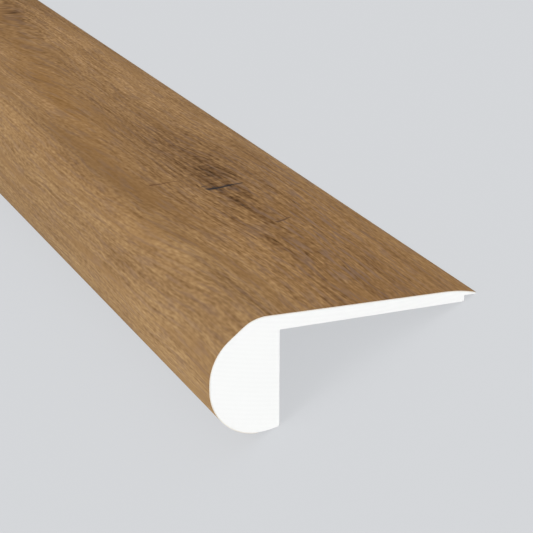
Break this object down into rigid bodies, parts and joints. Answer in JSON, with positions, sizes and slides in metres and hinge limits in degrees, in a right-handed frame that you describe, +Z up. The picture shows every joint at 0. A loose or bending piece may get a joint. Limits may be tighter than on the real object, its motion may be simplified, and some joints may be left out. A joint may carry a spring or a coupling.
{
  "type": "stair nosing",
  "caption": "Flush stair nosing: solid white rigid-vinyl extrusion with a rounded, bevelled nose, a thin rear tongue and an overlapping lip, wrapped in a printed wood-grain film.",
  "frame": {"origin": "centre of the bounding box's underside, on the floor that the nosing lies on", "axes": "+X along the length, +Y from the front of the nose back towards the lip, +Z up from the floor; the length lies show face up, turned 27.4 degrees about X from its place on a stair"},
  "size_m": [2.3876, 0.0608, 0.0239],
  "materials": {
    "white_vinyl": "matte extruded rigid vinyl, saw-cut at the ends",
    "wood_grain_film": "matte printed oak-look film with fine embossed pores"
  },
  "bodies": {
    "root": {"core_extrusion": "white_vinyl", "decor_film": "wood_grain_film"}
  },
  "joints": []
}
